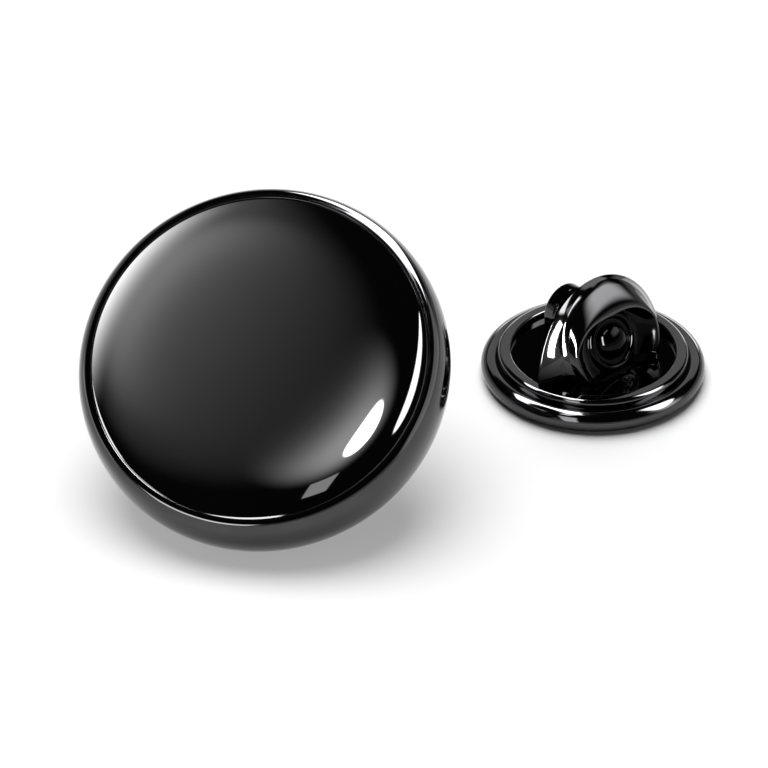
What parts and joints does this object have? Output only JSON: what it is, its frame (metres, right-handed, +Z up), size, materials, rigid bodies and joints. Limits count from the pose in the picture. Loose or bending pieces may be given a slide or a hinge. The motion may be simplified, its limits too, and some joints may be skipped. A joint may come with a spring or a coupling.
{
  "type": "enamel pin with butterfly clutch",
  "caption": "Round black enamel pin with a domed blank face and a thick polished rim, leaning on its post beside its detached butterfly clutch.",
  "frame": {"origin": "on the table, below the middle of the box round the pin and its clutch", "axes": "+Z up from the table, +X from the pin towards the clutch, -Y towards the viewer"},
  "size_m": [0.0318, 0.0236, 0.0134],
  "materials": {
    "black_nickel": "polished black nickel plating over brass, mirror bright, with fine handling marks",
    "black_enamel": "glossy black enamel",
    "clear_resin": "clear domed resin over black enamel, high gloss",
    "spring_steel": "bright spring steel, fine rolled grain"
  },
  "bodies": {
    "pin": {"metal_body": "black_nickel", "enamel_fill": "black_enamel", "epoxy_dome": "clear_resin", "post": "black_nickel", "solder_joint": "black_nickel"},
    "clutch": {"clutch_cap": "black_nickel", "retaining_ring": "black_nickel", "clip_plate": "black_nickel", "spring_washer": "spring_steel"},
    "front_wing_lever": {"front_wing": "black_nickel", "front_jaw": "spring_steel"},
    "rear_wing_lever": {"rear_wing": "black_nickel", "rear_jaw": "spring_steel"}
  },
  "joints": [
    {"name": "clutch_lift", "type": "slide", "parent": "pin", "child": "clutch", "axis": [0, 0, 1], "range_m": [0, 0.015]},
    {"name": "front_wing_squeeze", "type": "hinge", "parent": "clutch", "child": "front_wing_lever", "pos_m": [0.01128, 0.0047, 0.0013], "axis": [-0.7431, -0.6691, 0], "range_deg": [0, 8], "stiffness_Nm_per_rad": 0.00005, "springref_deg": -17.19},
    {"name": "rear_wing_squeeze", "type": "hinge", "parent": "clutch", "child": "rear_wing_lever", "pos_m": [0.00893, 0.0073, 0.0013], "axis": [0.7431, 0.6691, 0], "range_deg": [0, 8], "stiffness_Nm_per_rad": 0.00005, "springref_deg": -17.19}
  ],
  "couplings": [
    {"joint": "rear_wing_squeeze", "follows": "front_wing_squeeze", "ratio": 1}
  ]
}
